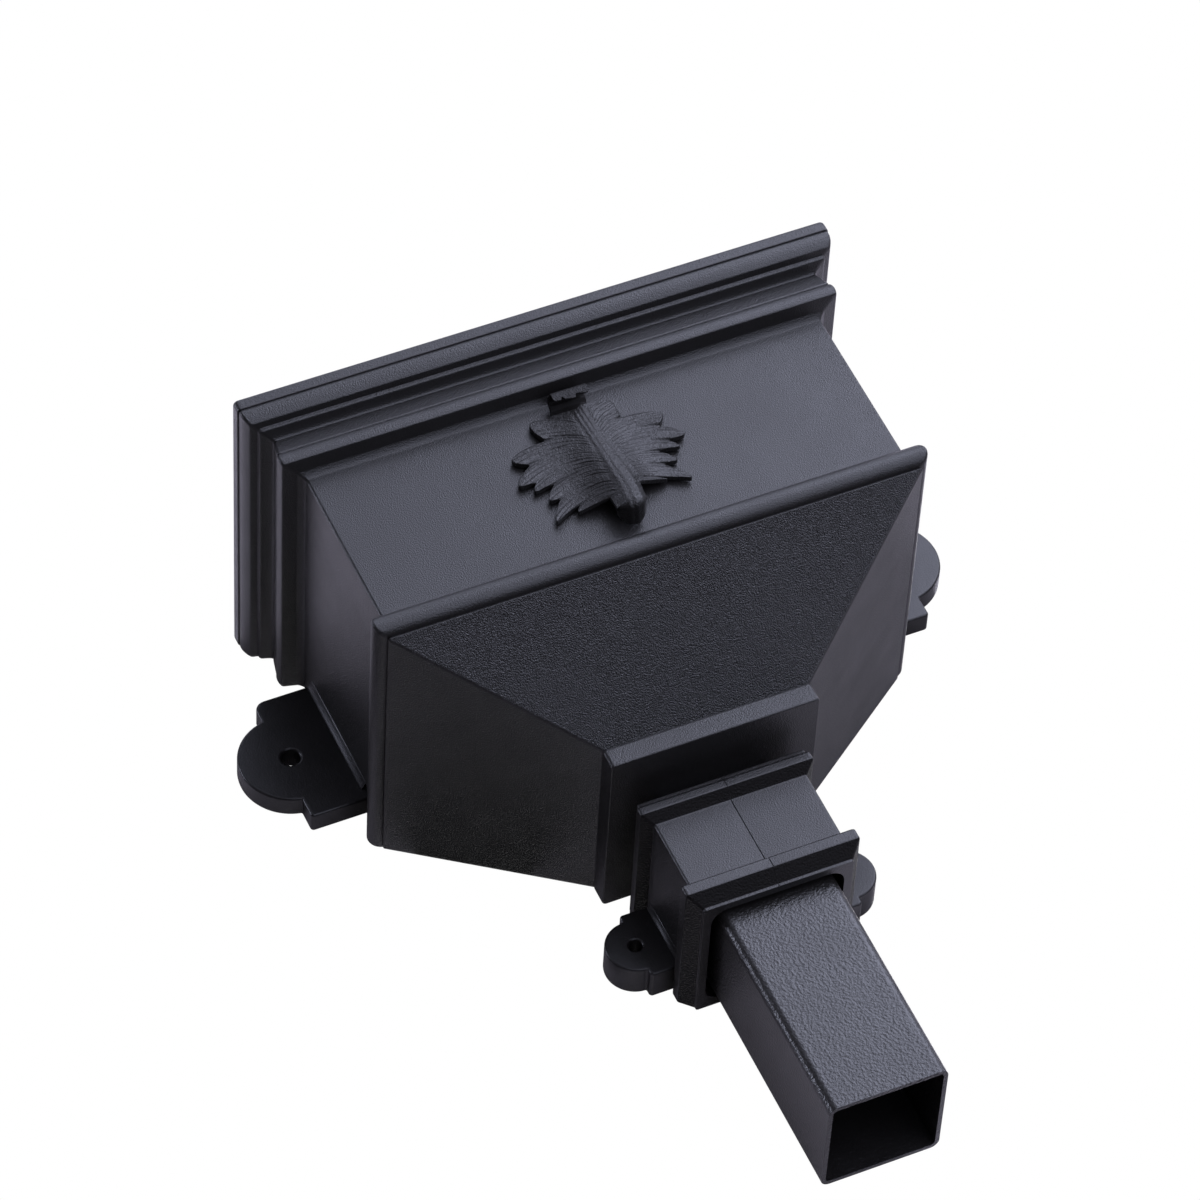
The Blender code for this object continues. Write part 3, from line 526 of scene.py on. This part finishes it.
LEAF_SHIFT = -1.0
LEAF_STAND_OFF = 0.35
LEAF_THICKNESS = 2.6
ROW_PITCH = 0.30
COLUMNS = 110
CURL_START, CURL_RADIUS, CURL_TOP = 43.4, 2.2, 2.0
ROLL_START, ROLL_RADIUS, ROLL_TURN = -36.5, 5.0, math.radians(80)
RIB_TOP, RIB_TIP, RIB_CURVE, RIB_SHIFT = 5.0, 17.0, 1.2, 1.2
ARCH_WIDTH = 15.0
TIP_FLATNESS, TIP_BEND, TIP_DRAW_IN = 0.2, 1.5, 2.2

# How the rows rise beside the rib, bend back down and open out, and how far the lobe right of the foot
# is raised
VEIN_RISE, VEIN_DROOP, VEIN_OPENING = 0.55, 0.0125, 0.00024
VEIN_LIFT, VEIN_LIFT_WIDTH = 2, 4
FOOT_LOBE_LIFT = 2.8

# The lip's edge: its swells by height, start and end across it, and one tooth by depth, place and width
LIP_SWELLS = ((1.2, -6, 0.5), (-2.4, 0.9, 2.0), (1.2, 2, 7))
TOOTH_DEPTH, TOOTH_PLACE, TOOTH_WIDTH = 1.6, -5.6, 0.6
LIP_BACK = 42
LIP_WAVE = 0.2
LIP_THINNING = 0.5
HOLLOW_START, HOLLOW_STEP, HOLLOW_DEPTH = 37.0, 2.0, 1.8

# Carving: how far one lobe rises over the next, the pitch and depth of the veins, and the strands of the rib
LOBE_LIFT, LOBE_STEP, LOBE_MIDDLE, WHOLE_LOBE = 1.8, 0.9, 0.55, 0.3
VEIN_PITCH, VEIN_DEPTH_LEFT, VEIN_DEPTH_RIGHT = 2.3, 0.5, 0.40
FINE_PITCH, FINE_PHASE, FINE_DEPTH = 1.35, 0.3, 0.3
VEIN_SWEEP, VEIN_SWEEP_WIDTH = 8, 5.5
STRAND_PITCH, STRAND_HEIGHT, STRAND_WIDENING = 2.3, 0.12, 0.7
RIB_FURROW_DEPTH, RIB_FURROW_PLACE, RIB_FURROW_WIDTH = 0.25, 4.0, 1.0

# The lobes of the leaf from its lip down to its tip: height of the vein at the rib, then the vein's
# reach to the left and to the right. Notches and lobe tips take turns, and the tongue comes last.
LOBES = (
    (56.0, 9.6, 8.2), (54.5, 10.4, 9.4), (48, 10.0, 9.0), (43, 11.2, 8.6), (38.5, 12.4, 7.5),
    (34.5, 15.5, 13.5), (31.5, 15.5, 13), (24, 25.5, 20), (14.8, 22.5, 20), (11.3, 43, 41), (5.3, 36, 36),
    (1, 46.5, 45.7), (-3, 37.5, 37), (-5.8, 40.5, 40.2), (-9, 29.5, 29), (-14, 36, 35), (-17, 30.5, 28),
    (-23.6, 38.5, 36.8), (-26, 23.5, 21), (-28.8, 25.5, 25), (-31, 9, 9), (-36, 8.3, 8.3), (-43, 8, 8),
    (-50, 7.2, 7.2), (-53.5, 4.5, 4.5),
)
NOTCHES = [31.5] + [vein for vein, _, _ in LOBES[8:21:2]]


def smoothstep(low, high, value):
    share = min(max((value - low) / (high - low), 0), 1)
    return share * share * (3 - 2 * share)


def noise_at(*place):
    return noise.noise(Vector(place))


def leaf_rows():
    """Vein heights and reaches of the rows, swelling out to each lobe tip and drawing in to each notch."""
    rows = []
    for index, (knot, following) in enumerate(zip(LOBES, LOBES[1:])):
        steps = max(3, round((knot[0] - following[0]) / ROW_PITCH))
        for step in range(steps):
            share = step / steps
            ease = math.sin(share * math.pi / 2) if index % 2 == 0 else 1 - math.cos(share * math.pi / 2)
            rows.append(tuple(value + (later - value) * part
                              for value, later, part in zip(knot, following, (share, ease, ease))))
    rows.append(LOBES[-1])
    return rows


def lobe_share(vein):
    """How far a vein lies down its lobe, from 0 at the lobe's upper edge to 1 at its lower edge."""
    for upper, lower in zip(NOTCHES, NOTCHES[1:]):
        if lower <= vein <= upper:
            share = (upper - vein) / (upper - lower)
            return share * smoothstep(lower, lower + LOBE_STEP, vein)
    return WHOLE_LOBE


def groove(phase):
    """A narrow furrow at each whole number, from 0 on the ridges to 1 at the bottom."""
    return ((1 + math.cos(math.tau * phase)) / 2) ** 4


def carving(vein, reach, x):
    """How far the carved ribs and veins stand above the plain surface of the leaf."""
    side = abs(x - RIB_SHIFT)
    outer = min(abs(x) / reach, 1)
    fade = smoothstep(3.4, 6, side) * (1 - smoothstep(37, 43, vein)) * smoothstep(-38, -32, vein)
    line = vein + VEIN_SWEEP * math.exp(-side / VEIN_SWEEP_WIDTH) + 0.5 * noise_at(0.07 * x, 0.35 * vein, 1)
    strength = VEIN_DEPTH_LEFT if x < 0 else VEIN_DEPTH_RIGHT
    broken = 0.50 + 1.6 * noise_at(0.07 * x, 0.22 * line, 4)
    veins = groove(line / VEIN_PITCH) * min(max(broken, 0.0), 1.1)
    broken = 0.4 + noise_at(0.12 * x, 0.8 * line, 9)
    fine = groove(line / FINE_PITCH + FINE_PHASE) * min(max(broken, 0), 1)
    cut = -(strength * veins + FINE_DEPTH * fine) * fade
    band = 1 + STRAND_WIDENING * smoothstep(10, -34, vein)
    strand = STRAND_HEIGHT * math.cos(math.tau * side / (STRAND_PITCH * band))
    strand *= 1 - smoothstep(3.0 * band, 4.2 * band, side)
    strand -= RIB_FURROW_DEPTH * math.exp(-((side - RIB_FURROW_PLACE * band) / RIB_FURROW_WIDTH) ** 2)
    strand *= smoothstep(41, 33, vein)
    return cut + LOBE_LIFT * (lobe_share(vein) - LOBE_MIDDLE) * outer ** 5 + strand


def row_height(vein, x):
    """How far up the leaf a point of a row lies, before the leaf is curled and rolled."""
    fan = smoothstep(-36, -28, vein) * (1 - smoothstep(26, 40, vein))
    rise = VEIN_RISE * abs(x) + (VEIN_OPENING * vein - VEIN_DROOP) * x * x
    along = vein + fan * (rise + VEIN_LIFT * (1 - math.exp(-abs(x) / VEIN_LIFT_WIDTH)))
    along += FOOT_LOBE_LIFT * smoothstep(2, 9, x) * smoothstep(-25, -30, vein) * smoothstep(-39, -32, vein)
    frill = sum(height * smoothstep(start, end, x) for height, start, end in LIP_SWELLS)
    frill -= TOOTH_DEPTH * math.exp(-((x - TOOTH_PLACE) / TOOTH_WIDTH) ** 2)
    return along + frill * smoothstep(50, 56, vein)


def hollow_edge(x):
    """The row at which the hollow under the curled lip begins."""
    return HOLLOW_START + HOLLOW_STEP * smoothstep(0, 4, x)


def bend(along, rib, depth):
    """Where the curl at the lip and the roll at the foot take a point of the rib: out, up, how far the leaf
    has turned there, and the least that a point may stand out."""
    least = LEAF_STAND_OFF + LEAF_THICKNESS - depth
    if along > CURL_START:
        quarter = CURL_RADIUS * math.pi / 2
        past = along - CURL_START
        level = min(max(past - quarter, 0), CURL_TOP)
        turn = min((past - level) / CURL_RADIUS, math.pi)
        out = rib + CURL_RADIUS * (1 - math.cos(turn)) + level
        up = CURL_START + CURL_RADIUS * math.sin(turn) - max(past - CURL_TOP - 2 * quarter, 0)
        return out, up, turn, least
    if along < ROLL_START:
        turn = min((ROLL_START - along) / ROLL_RADIUS, ROLL_TURN)
        past = ROLL_START - along - ROLL_RADIUS * turn
        out = rib - ROLL_RADIUS * (1 - math.cos(turn)) - past * math.sin(turn)
        up = ROLL_START - ROLL_RADIUS * math.sin(turn) - past * math.cos(turn)
        return out, up, turn, LEAF_STAND_OFF + (LEAF_THICKNESS - depth) * math.cos(turn)
    return rib, along, 0.0, least


def leaf_point(vein, reach, x, depth):
    """A point of the leaf at a depth below its face: across, out from the panel and up."""
    along = row_height(vein, x)
    fall = min(max((CURL_START - along) / (CURL_START - ROLL_START), 0), 1)
    rib = RIB_TOP + (RIB_TIP - RIB_TOP) * fall ** RIB_CURVE
    out, up, turn, least = bend(along, rib, depth)
    flatness = 1 - TIP_FLATNESS * smoothstep(26, 34, -along)
    lobe_height = LEAF_STAND_OFF + LEAF_THICKNESS + 0.45 * LOBE_LIFT
    arch = math.exp(-((x - RIB_SHIFT) / ARCH_WIDTH) ** 2)
    drop = (rib - lobe_height) * flatness * (1 - arch) * (1 - smoothstep(38, 44, vein)) + depth
    drop += TIP_DRAW_IN * smoothstep(-30, -40, vein) * min(abs(x) / reach, 1) ** 3
    before_curl = 1 - smoothstep(CURL_START - 2.5, CURL_START, vein)
    drop += HOLLOW_DEPTH * smoothstep(-0.6, 0.6, vein - hollow_edge(x)) * before_curl
    if depth == 0:
        drop -= carving(vein, reach, x)
    elif vein > LIP_BACK:
        wave = LIP_WAVE * noise_at(0.5 * x, 0.06 * vein, 7) - LIP_THINNING * depth
        drop += wave * smoothstep(LIP_BACK, LIP_BACK + 10, vein)
    out -= drop * math.cos(turn)
    up += drop * math.sin(turn)
    return LEAF_SHIFT + x - TIP_BEND * smoothstep(24, 38, -vein), max(out, least), up


def leaf_material_choice(vein, x, depth):
    """A place's material: 0 for the leaf; 1 for the hollow under its curled lip, a dull material with almost
    no sheen that is painted shade; 2 for the lip's outside, whose coarser grain is the leaf's own and whose
    lower sheen is painted shade from the cornice above.
    """
    if vein <= hollow_edge(x):
        return 0
    return 1 if depth == 0 else 2


rows = leaf_rows()
leaf_bm = bmesh.new()
rims = []
material_choices = []
for depth in (0, LEAF_THICKNESS):
    grid = []
    for vein, left, right in rows:
        row = []
        for column in range(COLUMNS + 1):
            x = -left + (left + right) * column / COLUMNS
            across, out, up = leaf_point(vein, left if x < 0 else right, x, depth)
            row.append(leaf_bm.verts.new((across * MM, (-BOX_DEPTH - out) * MM, up * MM)))
        grid.append(row)
    for upper, lower, (vein, left, right) in zip(grid, grid[1:], rows):
        for column in range(COLUMNS):
            leaf_bm.faces.new((upper[column], lower[column], lower[column + 1], upper[column + 1]))
            material_choices.append(leaf_material_choice(vein, -left + (left + right) * column / COLUMNS, depth))
    right_edge = [row[-1] for row in grid[1:]]
    left_edge = [row[0] for row in grid[-2:0:-1]]
    rims.append(grid[0] + right_edge + grid[-1][-2::-1] + left_edge)
face_rim, back_rim = rims
for index in range(len(face_rim)):
    leaf_bm.faces.new((face_rim[index - 1], face_rim[index], back_rim[index], back_rim[index - 1]))
leaf_mesh = bpy.data.meshes.new("leaf")
leaf_bm.to_mesh(leaf_mesh)
leaf_bm.free()
dress(outward("leaf", leaf_mesh), ["leaf_motif"], "leaf_plastic", leaf_plastic, hollow_shade_plastic, lip_grain_and_shade_plastic)
# The rim's faces come last and keep the leaf's own material
for face, choice in zip(leaf_mesh.polygons, material_choices):
    face.material_index = choice

# Stage, lamps and camera

CAMERA_PLACE = (-0.972204, -2.661185, -1.911396)
CAMERA_TURN = (128.429658, 24.181194, -2.521352)
camera_data = bpy.data.cameras.new("camera")
camera_data.lens = 194.88
camera_data.sensor_width = 36.0
camera_data.sensor_fit = "HORIZONTAL"
camera_data.clip_start = 0.1
camera_data.clip_end = 50.0
camera = link("camera", camera_data)
camera.location = CAMERA_PLACE
camera.rotation_euler = [math.radians(angle) for angle in CAMERA_TURN]
bpy.context.scene.camera = camera

SKY = (0.75, 0.785, 1.0)
MIDDLE = (0, -0.09, -0.06)

# Each square lamp by its direction from the place it is aimed at, its distance, size and power, and that place
for name, direction, distance, size, power, aim in (
    ("broad", (0.30, -0.93, 0.20), 3.0, 5.0, 44.0, MIDDLE),
    ("over", (0.02, -0.02, 1.0), 1.6, 1.0, 2.0, (0.2, -0.5, -0.1)),
    ("top", (0.10, -0.35, 0.93), 3.0, 2.6, 15.0, MIDDLE),
    ("high", (0.25, -0.62, 0.77), 3.0, 2.4, 10.0, MIDDLE),
    ("key", (0.50, -0.70, 0.50), 2.4, 1.8, 5.0, MIDDLE),
    ("near", (0.85, -0.92, 0.68), 1.42, 1.0, 10.0, (0.05, -0.17, 0.02)),
    ("middle", (0.50, -0.85, 0.15), 2.4, 1.6, 19.0, MIDDLE),
    ("right", (0.90, -0.40, 0.20), 3.0, 3.0, 38.0, MIDDLE),
    ("low", (0.30, -0.78, -0.55), 3.0, 2.6, 45.0, MIDDLE),
    ("left", (-0.60, -0.62, 0.50), 3.0, 1.8, 1.5, MIDDLE),
    ("edge", (-0.81, -0.15, 0.56), 3.0, 0.8, 22.0, MIDDLE),
):
    data = bpy.data.lights.new(name, "AREA")
    data.shape = "SQUARE"
    data.size = size
    data.energy = power
    data.color = SKY
    data.use_shadow = True
    away = Vector(direction).normalized()
    lamp = link(name, data)
    lamp.location = Vector(aim) + away * distance
    lamp.rotation_mode = "QUATERNION"
    lamp.rotation_quaternion = away.to_track_quat("Z", "Y")

# Two weak suns from behind, which the wall's cards let through
for name, energy, turn in (("rear", 0.5, (-90, 0, 0)), ("rear_high", 1.8, (-60, 0, -34))):
    data = bpy.data.lights.new(name, "SUN")
    data.energy = energy
    data.angle = math.radians(20)
    link(name, data).rotation_euler = [math.radians(angle) for angle in turn]

STUDIO, STUDIO_FRONT = 3, -5
WALL_BACK, SHADOW_CARD_BACK = 0.001, 0.0006


def upright(left, right, low, high, y):
    """The corners of a card that stands square to the view from the front."""
    return [(left, y, low), (right, y, low), (right, y, high), (left, y, high)]


def lying(height):
    """The corners of the studio's floor or roof."""
    return [(-STUDIO, WALL_BACK, height), (STUDIO, WALL_BACK, height), (STUDIO, STUDIO_FRONT, height),
            (-STUDIO, STUDIO_FRONT, height)]


def sideways(x):
    """The corners of a side of the studio."""
    return [(x, WALL_BACK, -STUDIO), (x, WALL_BACK, STUDIO), (x, STUDIO_FRONT, STUDIO),
            (x, STUDIO_FRONT, -STUDIO)]


# The pale wall that the part hangs on, paler above and near black at its foot, which is painted light and
# shade; darker cards on it beside the funnel, which are painted shadow of the part; and the dark studio round
# it, all out of the camera's sight, so that the background stays white
for name, corners, grey in (
    # Painted light: the wall's upper part is paler
    ("wall_top", upright(-STUDIO, STUDIO, 0.2, STUDIO, WALL_BACK), 0.90),
    ("wall", upright(-STUDIO, STUDIO, -0.4, 0.2, WALL_BACK), 0.84),
    # Painted shade: the wall is near black below the part
    ("wall_foot", upright(-STUDIO, STUDIO, -STUDIO, -0.4, WALL_BACK), 0.05),
    # Painted shadow: darker cards on the wall where the part's shadow falls beside the funnel
    ("painted_shadow_left", upright(-0.21, -0.085, -0.22, -0.075, SHADOW_CARD_BACK), 0.05),
    ("painted_shadow_far_left", upright(-0.45, -0.23, -0.30, 0.060, SHADOW_CARD_BACK), 0.05),
    ("painted_shadow_right", upright(0.055, 0.35, -0.21, -0.02, SHADOW_CARD_BACK), 0.30),
    ("studio_floor", lying(-STUDIO), 0.05),
    ("studio_front", upright(-STUDIO, STUDIO, -STUDIO, STUDIO, STUDIO_FRONT), 0.08),
    ("studio_roof", lying(STUDIO), 0.08),
    ("studio_left", sideways(-STUDIO), 0.08),
    ("studio_right", sideways(STUDIO), 0.08),
):
    card_mesh = bpy.data.meshes.new(name)
    card_mesh.from_pydata(corners, [], [(0, 1, 2, 3)])
    card_mesh.materials.append(paint(name, grey))
    card = link(name, card_mesh)
    card.visible_camera = False
    card.visible_shadow = False

# A world that is white where it is seen, straight or in a reflection, and a weak fill otherwise
world = bpy.data.worlds.new("studio")
bpy.context.scene.world = world
world.use_nodes = True
tree = world.node_tree
tree.nodes.clear()
backgrounds = []
for colour, strength in (((1.0, 0.98, 0.96, 1), 0.20), ((1, 1, 1, 1), 1.0)):
    background = tree.nodes.new("ShaderNodeBackground")
    background.inputs["Color"].default_value = colour
    background.inputs["Strength"].default_value = strength
    backgrounds.append(background.outputs["Background"])
rays = tree.nodes.new("ShaderNodeLightPath")
seen = rays.outputs["Is Camera Ray"]
for kind in ("Is Glossy Ray", "Is Transmission Ray"):
    either = tree.nodes.new("ShaderNodeMath")
    either.operation = "MAXIMUM"
    tree.links.new(seen, either.inputs[0])
    tree.links.new(rays.outputs[kind], either.inputs[1])
    seen = either.outputs[0]
mix = tree.nodes.new("ShaderNodeMixShader")
tree.links.new(seen, mix.inputs["Fac"])
for index, background in enumerate(backgrounds, 1):
    tree.links.new(background, mix.inputs[index])
surface = tree.nodes.new("ShaderNodeOutputWorld")
tree.links.new(mix.outputs["Shader"], surface.inputs["Surface"])

bpy.context.scene.view_settings.view_transform = "Standard"
